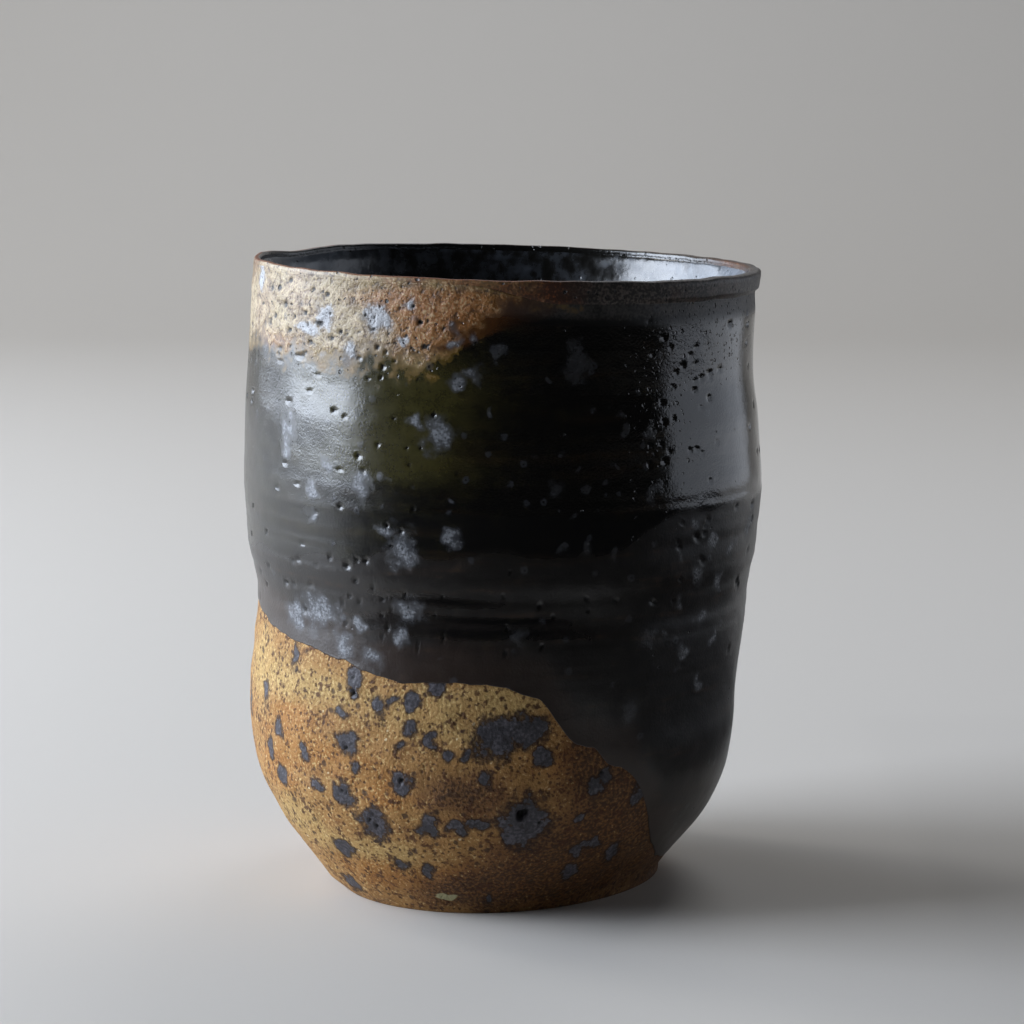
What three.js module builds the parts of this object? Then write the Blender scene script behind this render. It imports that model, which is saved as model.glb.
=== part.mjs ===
// A wheel-thrown stoneware cup: one clay body, a dark iron glaze dipped over its outside at a slant,
// the same glaze poured inside, and a thin iron wash on the lip. The coats are fired onto the clay.
// Millimetres, +Z up, standing on z = 0. A turn is an angle round the cup in degrees, counted from
// its front (-Y) towards its right (+X).

import * as THREE from "three";

// The thrown wall, from the table up. Each stretch gives how far the clay rises and widens over it, and
// how far its centre moves sideways (towards +X), because the wall wanders off its axis.
const standingEdge = { rise: 0, widening: 25.4, drift: -0.6 };
const baseRound = { rise: 2, widening: 1.5, drift: -1.0 };
const bevel = { rise: 11, widening: 8.0, drift: -0.3 };
const hip = { rise: 8, widening: 3.1, drift: -0.4 };
const lowerBelly = { rise: 8, widening: 0.8, drift: 0 };
const waist = { rise: 18, widening: 0.1, drift: 1.7 };
const ridge = { rise: 9, widening: 1.3, drift: 0.15 };
const upperBelly = { rise: 10, widening: 0.6, drift: 0.15 };
const neck = { rise: 15, widening: -1.2, drift: -0.4 };
const collarGroove = { rise: 12, widening: -0.2, drift: 0.5 };
const collar = { rise: 5.4, widening: 0.5, drift: 0.2 };
const wallStretches = [
  standingEdge, baseRound, bevel, hip, lowerBelly, waist, ridge, upperBelly, neck, collarGroove, collar,
];

// The rim stands higher on the left than on the right, and the foot is a little oval.
const rimFall = 2;
const footOval = 2;
const footOvalTurn = -45;
const footOvalHeight = 22;

// Clay thickness, and the turned underside: a shallow recess inside a flat standing ring.
const lipThickness = 1.4;
const lipTaper = 30;
const wallThickness = 4.4;
const floorThickness = 6.5;
const innerCornerRadius = 14;
const recessDepth = 1.5;
const recessSlope = 1;
const standingRingWidth = 5;

// The coats. The gap keeps each coat just clear of the clay and of the next coat.
const outerGlazeThickness = 0.5;
const innerGlazeThickness = 0.5;
const washThickness = 0.25;
const coatGap = 0.1;
const washReachOutside = 3.2;
const washReachInside = 2.4;

// The lower edge of the outer glaze, as heights above the rounded edge of the base.
const glazeEdge = [
  { turn: -90, above: 44 },
  { turn: -40, above: 39 },
  { turn: 0, above: 36.5 },
  { turn: 14, above: 32.5 },
  { turn: 24, above: 26 },
  { turn: 37, above: 20 },
  { turn: 50, above: 8.5 },
  { turn: 65, above: 3.5 },
  { turn: 180, above: 2.5 },
  { turn: 225, above: 18 },
];

// How finely the solids are faceted.
const facetsRound = 48;
const baseRows = 2;
const bareRows = 8;
const glazedRows = 17;
const lipRows = 5;
const innerRows = 7;
const cornerRows = 4;

const fullTurn = 360;
const toRadians = THREE.MathUtils.degToRad;
const lerp = THREE.MathUtils.lerp;

// A smooth curve through points that never swings past them, as a function of the first value.
function smoothThrough(points) {
  const slopes = points.slice(1).map(([x, y], i) => (y - points[i][1]) / (x - points[i][0]));
  const tangents = points.map((_, i) => {
    const before = slopes[Math.max(i - 1, 0)];
    const after = slopes[Math.min(i, slopes.length - 1)];
    return before * after > 0 ? (2 * before * after) / (before + after) : 0;
  });
  return (x) => {
    const found = points.findIndex(([end], i) => i > 0 && x <= end);
    const i = found < 0 ? points.length - 1 : found;
    const [x0, y0] = points[i - 1];
    const [x1, y1] = points[i];
    const width = x1 - x0;
    const t = THREE.MathUtils.clamp((x - x0) / width, 0, 1);
    const rest = 1 - t;
    const fromStart = rest * rest * ((1 + 2 * t) * y0 + t * width * tangents[i - 1]);
    const fromEnd = t * t * ((1 + 2 * rest) * y1 - rest * width * tangents[i]);
    return fromStart + fromEnd;
  };
}

// The clay's outer wall as functions of the height up the wall.
function runningTotals(key) {
  let total = 0;
  return wallStretches.map((stretch) => (total += stretch[key]));
}
const stationHeights = runningTotals("rise");
const alongWall = (key) => smoothThrough(runningTotals(key).map((value, i) => [stationHeights[i], value]));
const clayRadius = alongWall("widening");
const wallOffset = alongWall("drift");
const baseRoundHeight = baseRound.rise;
const wallTop = stationHeights.at(-1);
const lipRadius = lipThickness / 2;
const rimHeight = wallTop + lipRadius;

// A point on the cup from its turn, its distance from the wall's own centre and its height.
function place(turn, radius, height) {
  const angle = toRadians(turn);
  const fall = (rimFall / 2 / rimHeight) * Math.sin(angle);
  return new THREE.Vector3(
    wallOffset(height) + radius * Math.sin(angle),
    -radius * Math.cos(angle),
    height * (1 - fall),
  );
}

function ovalAt(turn, height) {
  const share = Math.max(0, 1 - height / footOvalHeight);
  return footOval * share * Math.cos(2 * toRadians(turn - footOvalTurn));
}

// A point of the outer wall, lifted square off the clay.
function outerPoint(turn, height, lift) {
  const slopeStep = 0.05;
  const slope = (clayRadius(height + slopeStep) - clayRadius(height - slopeStep)) / (2 * slopeStep);
  const length = Math.hypot(1, slope);
  const radius = clayRadius(height) + ovalAt(turn, height) + lift / length;
  return place(turn, radius, height - (lift * slope) / length);
}

// A point of the round lip. The share runs from 0 at the outer wall to 1 at the inner wall.
function lipPoint(turn, share, lift) {
  const angle = Math.PI * share;
  const middle = clayRadius(wallTop) - lipRadius;
  const reach = lipRadius + lift;
  return place(turn, middle + reach * Math.cos(angle), wallTop + reach * Math.sin(angle));
}

// The inside: a wall that thins towards the lip, a round corner and a flat floor.
const floorTop = recessDepth + floorThickness;
const cornerTop = floorTop + innerCornerRadius;
function innerRadius(height) {
  const thinning = THREE.MathUtils.smoothstep(height, wallTop - lipTaper, wallTop);
  return clayRadius(height) - lerp(wallThickness, lipThickness, thinning);
}
function innerWallPoint(turn, height, lift) {
  return place(turn, innerRadius(height) - lift, height);
}
function innerCornerPoint(turn, share, lift) {
  const angle = (Math.PI / 2) * share;
  const middle = innerRadius(cornerTop) - innerCornerRadius;
  const reach = innerCornerRadius - lift;
  return place(turn, middle + reach * Math.cos(angle), cornerTop - reach * Math.sin(angle));
}

const edgePoints = glazeEdge.map(({ turn, above }) => [turn, baseRoundHeight + above]);
const [firstTurn, firstHeight] = edgePoints[0];
const glazeEdgeHeight = smoothThrough([...edgePoints, [firstTurn + fullTurn, firstHeight]]);
const glazeTop = wallTop - washReachOutside;
const linerTop = wallTop - washReachInside;

// A ring of points, one for each facet round the cup, and a single point on the wall's centre.
const ring = (pointAt) =>
  Array.from({ length: facetsRound }, (_, i) => pointAt(firstTurn + (fullTurn * i) / facetsRound));
const centrePoint = (height) => [place(0, 0, height)];
const shares = (count) => Array.from({ length: count + 1 }, (_, i) => i / count);

const baseRings = () =>
  shares(baseRows).map((share) => ring((turn) => outerPoint(turn, baseRoundHeight * share, 0)));
const bareRings = () =>
  shares(bareRows).map((share) =>
    ring((turn) => outerPoint(turn, lerp(baseRoundHeight, glazeEdgeHeight(turn), share), 0)));
const glazedRings = (lift) =>
  shares(glazedRows).map((share) =>
    ring((turn) => outerPoint(turn, lerp(glazeEdgeHeight(turn), glazeTop, share), lift)));
const lipRings = (lift) => shares(lipRows).map((share) => ring((turn) => lipPoint(turn, share, lift)));
const innerRings = (lift) =>
  shares(innerRows).map((share) =>
    ring((turn) => innerWallPoint(turn, lerp(linerTop, cornerTop, share), lift)));
const cornerRings = (lift) =>
  shares(cornerRows).map((share) => ring((turn) => innerCornerPoint(turn, share, lift)));

// A closed skin over rings in order: up the outer side and down the inner side. Its ends close on
// centre points, or, where it has none, on each other. Each four-sided patch is split along its
// shorter diagonal, so that a coat and the clay under it are split alike.
function skin(rings) {
  const starts = [];
  const points = [];
  for (const row of rings) {
    starts.push(points.length);
    points.push(...row);
  }
  const triangles = [];
  const pairs = rings[0].length === 1 ? rings.length - 1 : rings.length;
  for (let i = 0; i < pairs; i += 1) {
    const next = (i + 1) % rings.length;
    for (let j = 0; j < facetsRound; j += 1) {
      const k = (j + 1) % facetsRound;
      const [a, b] = [j, k].map((index) => starts[i] + (rings[i].length === 1 ? 0 : index));
      const [d, c] = [j, k].map((index) => starts[next] + (rings[next].length === 1 ? 0 : index));
      const rising = points[a].distanceTo(points[c]);
      const falling = points[b].distanceTo(points[d]);
      if (a === b) triangles.push(a, c, d);
      else if (c === d) triangles.push(a, b, c);
      else if (rising < falling) triangles.push(a, b, c, a, c, d);
      else triangles.push(a, b, d, b, c, d);
    }
  }
  const geometry = new THREE.BufferGeometry();
  geometry.setFromPoints(points);
  geometry.setIndex(triangles);
  geometry.computeVertexNormals();
  return geometry;
}

function piece(name, geometry, material) {
  const mesh = new THREE.Mesh(geometry, new THREE.MeshStandardMaterial(material));
  mesh.name = name;
  return mesh;
}

// The clay body: underside, standing ring, turned bevel, thrown wall, lip and inside.
function stonewareBody() {
  const ringInside = (turn) => standingEdge.widening + ovalAt(turn, 0) - standingRingWidth;
  const geometry = skin([
    centrePoint(recessDepth),
    ring((turn) => place(turn, ringInside(turn) - recessSlope, recessDepth)),
    ring((turn) => place(turn, ringInside(turn), 0)),
    ...baseRings(),
    ...bareRings().slice(1),
    ...glazedRings(0).slice(1),
    ...lipRings(0),
    ...innerRings(0),
    ...cornerRings(0).slice(1),
    centrePoint(floorTop),
  ]);
  return piece("stoneware_body", geometry, { color: 0xa9834e, roughness: 0.85, metalness: 0 });
}

function outerGlaze() {
  const inside = coatGap;
  const outside = coatGap + outerGlazeThickness;
  const geometry = skin([...glazedRings(outside), ...glazedRings(inside).reverse()]);
  return piece("outer_glaze", geometry, { color: 0x1a1712, roughness: 0.25, metalness: 0 });
}

function innerGlaze() {
  const under = coatGap;
  const over = coatGap + innerGlazeThickness;
  const liner = (lift) => [...innerRings(lift), ...cornerRings(lift).slice(1), centrePoint(floorTop + lift)];
  const geometry = skin([...liner(under).reverse(), ...liner(over)]);
  return piece("inner_glaze", geometry, { color: 0x1b1a18, roughness: 0.2, metalness: 0 });
}

// The wash runs over the lip and a short way down both sides, and stops just short of both glazes.
function lipWash() {
  const band = (lift) => [
    ring((turn) => outerPoint(turn, glazeTop + coatGap, lift)),
    ...lipRings(lift),
    ring((turn) => innerWallPoint(turn, linerTop + coatGap, lift)),
  ];
  const geometry = skin([...band(coatGap + washThickness), ...band(coatGap).reverse()]);
  return piece("lip_wash", geometry, { color: 0x6e4426, roughness: 0.6, metalness: 0 });
}

const cup = new THREE.Group();
cup.add(stonewareBody(), outerGlaze(), innerGlaze(), lipWash());

// The origin is under the middle of the whole cup.
const middle = new THREE.Box3().setFromObject(cup, true).getCenter(new THREE.Vector3());
cup.position.set(-middle.x, -middle.y, 0);
cup.updateMatrixWorld(true);

export default cup;
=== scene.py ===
"""A wheel-thrown stoneware cup: bare speckled clay below, dark iron glaze above, a rusty lip."""

import math

import bpy
import numpy as np
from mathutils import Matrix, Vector


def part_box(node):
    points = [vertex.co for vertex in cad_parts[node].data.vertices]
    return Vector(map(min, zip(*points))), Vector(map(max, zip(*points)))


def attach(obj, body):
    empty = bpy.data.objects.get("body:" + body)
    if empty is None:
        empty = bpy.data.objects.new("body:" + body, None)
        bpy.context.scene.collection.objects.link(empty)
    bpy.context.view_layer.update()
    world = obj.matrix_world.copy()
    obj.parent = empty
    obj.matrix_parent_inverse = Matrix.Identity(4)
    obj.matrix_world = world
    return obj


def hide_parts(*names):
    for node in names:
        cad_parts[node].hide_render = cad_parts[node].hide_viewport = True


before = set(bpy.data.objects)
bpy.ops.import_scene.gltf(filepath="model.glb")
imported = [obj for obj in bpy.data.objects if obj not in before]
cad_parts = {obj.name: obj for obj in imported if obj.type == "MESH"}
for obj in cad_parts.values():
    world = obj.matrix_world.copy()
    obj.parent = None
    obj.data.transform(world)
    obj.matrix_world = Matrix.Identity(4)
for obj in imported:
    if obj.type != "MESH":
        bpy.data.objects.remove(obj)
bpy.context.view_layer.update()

# Clay body: one piece of iron-bearing stoneware, thrown on the wheel, turned to a bevel at the foot and
# fired with its lower front left bare. Sizes are in millimetres. A turn is an angle round the cup in
# degrees, counted from its front (-Y) towards its right (+X), and a height is measured up the wall.

MM = 0.001
FULL_TURN = 360.0

# How far each stretch of the wall rises and widens, and how far its centre drifts to the right.
WALL_STRETCHES = {
    "standing edge": (0.0, 25.4, -0.6),
    "base round": (2.0, 1.5, -1.0),
    "bevel": (11.0, 8.0, -0.3),
    "hip": (8.0, 3.1, -0.4),
    "lower belly": (8.0, 0.8, 0.0),
    "waist": (18.0, 0.1, 1.7),
    "ridge": (9.0, 1.3, 0.15),
    "upper belly": (10.0, 0.6, 0.15),
    "neck": (15.0, -1.2, -0.4),
    "collar groove": (12.0, -0.2, 0.5),
    "collar": (5.4, 0.5, 0.2),
}
RIM_FALL = 2.0
FOOT_OVAL = 2.0
FOOT_OVAL_TURN = -45.0
FOOT_OVAL_HEIGHT = 22.0
LIP_THICKNESS = 1.4
LIP_TAPER = 30.0
MOUTH_FLARE = 0.3
MOUTH_DEPTH = 4.5
MOUTH_OVERRUN = 1.2
COLLAR_FLARE = 0.5
COLLAR_FLARE_TALL = 5.0
COLLAR_TURN = 85.0
WALL_THICKNESS = 4.4
FLOOR_TOP = 8.0
INNER_CORNER = 14.0
RECESS_DEPTH = 1.5
RECESS_SLOPE = 1.0
STANDING_RING_WIDTH = 5.0


def smooth_through(xs, ys):
    """A smooth curve through points that never swings past them, as a function of an array."""
    xs, ys = np.asarray(xs, float), np.asarray(ys, float)
    slopes = np.diff(ys) / np.diff(xs)
    before = np.concatenate([slopes[:1], slopes])
    after = np.concatenate([slopes, slopes[-1:]])
    level = before * after <= 0
    tangents = np.where(level, 0, 2 * before * after / np.where(level, 1, before + after))

    def curve(x):
        i = np.clip(np.searchsorted(xs, x), 1, len(xs) - 1)
        width = xs[i] - xs[i - 1]
        t = np.clip((x - xs[i - 1]) / width, 0, 1)
        rest = 1 - t
        from_start = rest**2 * ((1 + 2 * t) * ys[i - 1] + t * width * tangents[i - 1])
        from_end = t**2 * ((1 + 2 * rest) * ys[i] - rest * width * tangents[i])
        return from_start + from_end

    return curve


def round_the_cup(points):
    """A smooth curve through (turn, value) points that joins up with itself after a full turn."""
    turns, values = (np.array(column, float) for column in zip(*points))
    turns = np.concatenate([turns[-2:] - FULL_TURN, turns, turns[:2] + FULL_TURN])
    values = np.concatenate([values[-2:], values, values[:2]])
    curve = smooth_through(turns, values)
    return lambda turn: curve((np.asarray(turn) - turns[2]) % FULL_TURN + turns[2])


rises, widenings, drifts = (np.array(column) for column in zip(*WALL_STRETCHES.values()))
station_heights = np.cumsum(rises)
clay_radius = smooth_through(station_heights, np.cumsum(widenings))
wall_drift = smooth_through(station_heights, np.cumsum(drifts))
BASE_ROUND = station_heights[1]
WALL_TOP = station_heights[-1]
RIM_HEIGHT = WALL_TOP + LIP_THICKNESS / 2
lip_low, lip_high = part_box("lip_wash")
wheel_axis = (lip_low + lip_high) / 2


def smooth_step(x, low, high):
    """Goes smoothly from 0 at low to 1 at high, and stays level beyond them."""
    t = np.clip((x - low) / (high - low), 0, 1)
    return t * t * (3 - 2 * t)


# The radius at which lengths along the wall are measured.
MEAN_RADIUS = 39.0


def unevenness(turn, height, seed, size):
    """Smooth seeded ups and downs round the wall, mostly within -1 to 1, about size millimetres apart."""
    draws = np.random.default_rng(seed)
    waves = 14
    total = 0
    for _ in range(waves):
        length = size * draws.uniform(0.7, 1.6)
        heading = draws.uniform(0, math.pi)
        waves_round = round(2 * math.pi * MEAN_RADIUS / length * math.cos(heading))
        waves_up = 2 * math.pi / length * math.sin(heading)
        phase = np.radians(turn) * waves_round + height * waves_up + draws.uniform(0, 2 * math.pi)
        total = total + np.sin(phase)
    return total / math.sqrt(waves)


def across_from(turn, middle):
    """How far a turn lies to the right of another, in millimetres along the wall."""
    return np.radians((turn - middle + FULL_TURN / 2) % FULL_TURN - FULL_TURN / 2) * MEAN_RADIUS


# Waves of the rim as (relief, size, seed), its dip as (turn, half width, depth), and how far down the
# wall both are felt.
RIM_WAVES = ((0.12, 25, 61), (0.05, 6, 62))
RIM_DIP = (-118, 6, 0.5)
RIM_WAVE_TALL = 8.0


def rim_wave(turn):
    """How far the rim rises over its even height: it waves a little and dips at the back on the left."""
    dip_turn, half_width, depth = RIM_DIP
    dip = depth * np.exp(-((across_from(turn, dip_turn) / half_width) ** 2))
    return sum(relief * unevenness(turn, 0, seed, size) for relief, size, seed in RIM_WAVES) - dip


def place(turn, radius, height):
    """Points in the frame, in metres, from turns, distances from the wall's centre and heights."""
    angle = np.radians(turn)
    fall = RIM_FALL / 2 / RIM_HEIGHT * np.sin(angle)
    x = wall_drift(height) + radius * np.sin(angle)
    y = -radius * np.cos(angle)
    near_rim = smooth_step(height, WALL_TOP - RIM_WAVE_TALL, WALL_TOP)
    z = height * (1 - fall) + rim_wave(turn) * near_rim
    return np.stack(np.broadcast_arrays(wheel_axis.x + x * MM, wheel_axis.y + y * MM, z * MM), axis=-1)


# Throwing rings: (height, relief, half width, tilt) of the main ridges and grooves that fingers left,
# and the fine ripples between them as (spacing, relief, lean in turns per full turn). Between the two
# heights of each pair the rings begin above the bevel, the fine ones fade, and all end under the collar.
MAIN_RINGS = (
    (44.5, -0.03, 0.7, 0.5),
    (48.0, -0.05, 0.8, 0.5),
    (51.5, -0.07, 0.9, 0.4),
    (54.5, 0.05, 0.8, 0.5),
    (59.0, -0.08, 1.0, 0.6),
    (64.0, 0.07, 0.8, 0.7),
    (69.5, -0.05, 2.0, 0.5),
    (77.2, 0.48, 4.3, 0.4),
    (86.0, 0.05, 2.2, -0.3),
)
FINE_RINGS = ((1.3, 0.008, 1), (2.1, 0.012, 1), (3.4, 0.014, 0))
RINGS_BEGIN = (26, 44)
FINE_RINGS_FADE = (55, 66)
RINGS_END = (WALL_TOP - 9, WALL_TOP - 4)
FINE_RINGS_LEFT = 0.3


def throwing_rings(turn, height):
    """The relief of the throwing rings, in millimetres. None is equally strong all round."""
    angle = np.radians(turn)
    relief = 0
    for ring_height, ring_relief, half_width, tilt in MAIN_RINGS:
        off = height - ring_height - tilt * np.sin(angle + ring_height)
        strength = 0.75 + 0.25 * np.cos(angle - ring_height)
        relief = relief + ring_relief * strength * np.exp(-((off / half_width) ** 2))
    for spacing, ring_relief, lean in FINE_RINGS:
        phase = 2 * math.pi * height / spacing + lean * angle + spacing
        strength = 0.6 + 0.4 * np.sin(2 * angle + height / 7 + spacing)
        fading = FINE_RINGS_LEFT + (1 - FINE_RINGS_LEFT) * (1 - smooth_step(height, *FINE_RINGS_FADE))
        relief = relief + ring_relief * strength * fading * np.sin(phase)
    return relief * smooth_step(height, *RINGS_BEGIN) * (1 - smooth_step(height, *RINGS_END))


def collar_share(turn):
    """1 on the right, where the lip stands out as a collar, and 0 on the left, where it does not."""
    return smooth_step(np.cos(np.radians(turn - COLLAR_TURN)), 0.3, 0.9)


def outer_radius(turn, height):
    """The wall's outer radius, with its oval foot, its throwing rings and a collar on the right."""
    share = np.clip(1 - height / FOOT_OVAL_HEIGHT, 0, 1)
    oval = FOOT_OVAL * share * np.cos(2 * np.radians(turn - FOOT_OVAL_TURN))
    near_rim = smooth_step(height, WALL_TOP - COLLAR_FLARE_TALL, WALL_TOP)
    straight = COLLAR_FLARE * near_rim * (1 - collar_share(turn))
    return clay_radius(height) + oval + throwing_rings(turn, height) - straight


def inner_radius(height):
    """The clay's inner radius: the wall thins towards the lip, and the mouth flares a little."""
    thinning = smooth_step(height, WALL_TOP - LIP_TAPER, WALL_TOP)
    mouth = np.clip((height - WALL_TOP + MOUTH_DEPTH) / MOUTH_DEPTH, 0, MOUTH_OVERRUN)
    wall = WALL_THICKNESS - (WALL_THICKNESS - LIP_THICKNESS) * thinning - MOUTH_FLARE * mouth**2
    return clay_radius(height) - wall


# Columns of points round the cup stand closer together at the front than at the back.
FRONT_CROWDING = 0.6


def columns_round(count):
    """The turns of that many columns."""
    steps = np.arange(count) * 2 * math.pi / count
    return np.degrees(steps - FRONT_CROWDING * np.sin(steps))


# A pit in shares of its radius and depth: how far it is felt, how steep its wall is as a power, and the
# place, width and rise of the edge that is raised round it.
PIT_REACH = 2.2
PIT_STEEPNESS = 6
PIT_EDGE = 1.3
PIT_EDGE_WIDTH = 0.35
PIT_EDGE_RISE = 0.1


def sink_pits(turn, height, pits, relief, marks):
    """Sinks round pits (turn, height, radius, depth) into relief, and marks the points inside them."""
    for pit_turn, pit_height, radius, depth in pits:
        across = across_from(turn[0], pit_turn)
        near = np.nonzero(np.abs(across) < PIT_REACH * radius)[0]
        distance = np.hypot(across[near], height[:, near] - pit_height) / radius
        hole = np.exp(-(distance**PIT_STEEPNESS))
        raised_edge = np.exp(-(((distance - PIT_EDGE) / PIT_EDGE_WIDTH) ** 2))
        relief[:, near] += depth * (PIT_EDGE_RISE * raised_edge - hole)
        marks[:, near] = np.maximum(marks[:, near], hole)


# What a field of spots says on the edge of a spot. It is 1 more in the middle, and 0 far outside.
SPOT_EDGE = 3.0
SPOT_RAGGEDNESS_SIZE = 3.0


def spot_field(turn, height, spots, ragged):
    """How near each point is to the nearest spot (turn, height, width, tall) with a ragged edge."""
    field = np.full(np.broadcast(turn, height).shape, -SPOT_EDGE)
    sideways = ragged * unevenness(turn, height, 21, SPOT_RAGGEDNESS_SIZE)
    upwards = ragged * unevenness(turn, height, 22, SPOT_RAGGEDNESS_SIZE)
    for spot_turn, spot_height, width, tall in spots:
        across = across_from(turn, spot_turn) + sideways
        distance = np.hypot(across / (width / 2), (height - spot_height + upwards) / (tall / 2))
        field = np.maximum(field, 1 - distance)
    return SPOT_EDGE + field


def patches(turn, height, places):
    """1 in the middle of soft patches (turn, height, half width, half tall), fading to 0 round them."""
    total = 0
    for patch_turn, patch_height, half_width, half_tall in places:
        across = across_from(turn, patch_turn) / half_width
        total = total + np.exp(-(across**2) - ((height - patch_height) / half_tall) ** 2)
    return np.minimum(total, 1)


def new_piece(name, points, faces):
    """A smooth piece with a mesh of its own, in the scene."""
    mesh = bpy.data.meshes.new(name)
    mesh.from_pydata(points, [], faces)
    mesh.shade_smooth()
    piece = bpy.data.objects.new(name, mesh)
    bpy.context.scene.collection.objects.link(piece)
    return piece


def turned_mesh(name, rows, poles=(), loop=False):
    """A piece over rows of points round the cup. It closes on two poles, or on itself as a loop."""
    count, columns = rows.shape[:2]
    vertices = rows.reshape(-1, 3)
    here = np.arange(count if loop else count - 1)[:, None] * columns
    above = (here + columns) % (count * columns)
    column = np.arange(columns)[None, :]
    after = (column + 1) % columns
    quads = np.stack([here + column, here + after, above + after, above + column], axis=-1)
    faces = quads.reshape(-1, 4).tolist()
    if len(poles):
        first, last = len(vertices), len(vertices) + 1
        vertices = np.concatenate([vertices, poles])
        top = (count - 1) * columns
        for i in range(columns):
            k = (i + 1) % columns
            faces.append((first, k, i))
            faces.append((top + i, top + k, last))
    return new_piece(name, vertices.tolist(), faces)


def give_marks(piece, first_row, **marks):
    """Stores numbers by name for the points of some rows of a piece; its other points get 0."""
    for name, values in marks.items():
        numbers = np.zeros(len(piece.data.vertices), np.float32)
        start = first_row * values.shape[1]
        numbers[start : start + values.size] = values.ravel()
        piece.data.attributes.new(name, "FLOAT", "POINT").data.foreach_set("value", numbers)


# Iron spots that bled out of the clay: (turn, height, width, tall). The last six are out of sight.
IRON_SPOTS = (
    (1.5, 30.6, 7, 6.4), (7, 31.8, 6.5, 5.2), (10.2, 32.2, 4, 4), (8, 17.2, 8, 8.5), (12, 27.5, 3, 3),
    (27, 24, 2.6, 3), (25, 22.4, 2.8, 2.8), (-29, 16, 5, 5.6), (-36, 20, 3.6, 4.2), (-34, 28.3, 4, 3.6),
    (-15, 16.2, 3.8, 4), (-42, 10.3, 4, 3), (-20, 22.8, 3.2, 3.4), (-53, 40, 2.2, 4), (-65, 33, 2.4, 3.6),
    (-58, 28, 2.4, 3.2), (-63, 24.3, 2.2, 3), (-48, 25.7, 2.2, 2.8), (-58, 20.6, 3, 3),
    (-44, 20.7, 2.2, 2), (-33, 38.3, 3, 3), (-33, 36, 2.2, 2), (-26, 34.6, 2, 2.6), (-36, 32.8, 2.2, 2),
    (-23, 35.8, 2, 1.6), (-18, 36, 2.6, 2.2), (-13, 38, 2.4, 2), (-18, 32, 2.4, 2.2), (-13, 30.3, 1.8, 2),
    (-20, 28.9, 2.2, 2), (-5, 28, 2.2, 2), (-9, 27.7, 1.8, 2), (-32, 24.8, 1.6, 2), (-25, 8.8, 2.4, 2.4),
    (-18, 8, 2.4, 2.6), (-49, 3.2, 5, 2.6), (-8, 16.4, 4.4, 2.4), (-3, 16.8, 3.6, 2), (-1, 24.2, 2.4, 2),
    (-2, 3, 2, 2.4), (35, 10, 3, 3.6), (26, 12.4, 4, 1.8), (22.5, 11.4, 2.6, 1.8), (23, 7.2, 3.4, 3),
    (22, 17.7, 2.4, 2.2), (37, 20, 2.6, 3), (-80, 30, 3, 5), (-95, 22, 5, 4), (-102, 36, 3.4, 3),
    (-110, 13, 4.4, 4), (-118, 27, 3, 3.4), (-88, 10, 3, 3),
)
# Gas holes in the larger spots: (turn, height, radius, depth).
SPOT_HOLES = (
    (7.2, 18.5, 0.7, 1.2), (8.4, 19.0, 0.55, 1.0), (11.8, 17.0, 0.35, 0.6), (-30, 16.6, 0.3, 0.5),
    (-28.5, 15.6, 0.35, 0.5), (-28.6, 17.3, 0.28, 0.4), (-36.5, 20.4, 0.3, 0.4), (-35.3, 20.3, 0.3, 0.4),
    (-20.4, 23.4, 0.4, 0.6), (-34.3, 27.6, 0.4, 0.5), (26.3, 24.4, 0.35, 0.5), (-33, 36.1, 0.45, 0.6),
    (-33.4, 38.6, 0.3, 0.4), (-95, 22.4, 0.5, 0.8), (-110, 13.3, 0.4, 0.6),
)
# Where the flame flushed the clay orange or toasted it brown, and where ash paled it, as soft patches
# of (turn, height, half width, half tall). The toasted patches lie mostly on the right, away from the
# window, and their brown is partly painted shade.
FLUSHED = (
    (-52, 31, 7, 3), (-42, 26, 10, 3), (-24, 21, 6, 4), (-60, 21, 7, 6), (-30, 7, 16, 3), (8, 6, 22, 4),
    (30, 14, 9, 9), (18, 26, 6, 3), (-100, 24, 16, 10), (-130, 14, 12, 8),
)
TOASTED = (
    (34, 16, 14, 16), (16, 8, 14, 7), (30, 26, 8, 5), (-8, 4, 14, 4), (-6, 22, 8, 4), (80, 10, 20, 20),
)
ASHED = (
    (-45, 36, 14, 4), (-8, 33, 12, 6), (8, 37, 8, 2.5), (-32, 11, 12, 3), (-72, 36, 8, 8), (-55, 14, 8, 5),
    (-85, 12, 10, 6),
)

# Dabs of pale glaze that dripped near the foot: (turn, height, width, tall).
GLAZE_DABS = ((-15, 3.2, 5.5, 1.3), (-128, 5, 4, 1.5))

# The height at which the bare clay ends, round the cup. The glaze sinks a little into the clay above it.
glaze_edge = round_the_cup((
    (-90, 46), (-66, 43.5), (-51, 42.2), (-38, 40.6), (-18, 38.9), (0, 38.5), (10, 36.7), (15, 33.3),
    (20, 29.2), (24, 28.4), (28, 25.6), (34, 23.8), (37, 21.6), (42, 16.5), (46, 12.8), (55, 8.4),
    (64, 5.6), (80, 4.4), (180, 5.0), (225, 20),
))
GLAZE_SINK = 0.12

# Rows of points are close together on the bare clay, and wide apart where glaze covers it.
BODY_COLUMNS = 560
RECESS_ROWS = 2
BASE_ROWS = 7
BARE_STEP = 0.5
BARE_TOP = 50.0
COVERED_ROWS = 22
CLAY_LIP_ROWS = 8
CLAY_INSIDE_ROWS = 16
CLAY_CORNER_ROWS = 7
INSIDE_START = 2.4
body_turns = columns_round(BODY_COLUMNS)[None, :]
base_heights = np.linspace(0, BASE_ROUND, BASE_ROWS)
bare_heights = np.arange(BASE_ROUND + BARE_STEP, BARE_TOP, BARE_STEP)
covered_heights = np.linspace(BARE_TOP + 1, WALL_TOP, COVERED_ROWS)
wall_heights = np.concatenate([base_heights, bare_heights, covered_heights])[:, None] + 0 * body_turns

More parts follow.
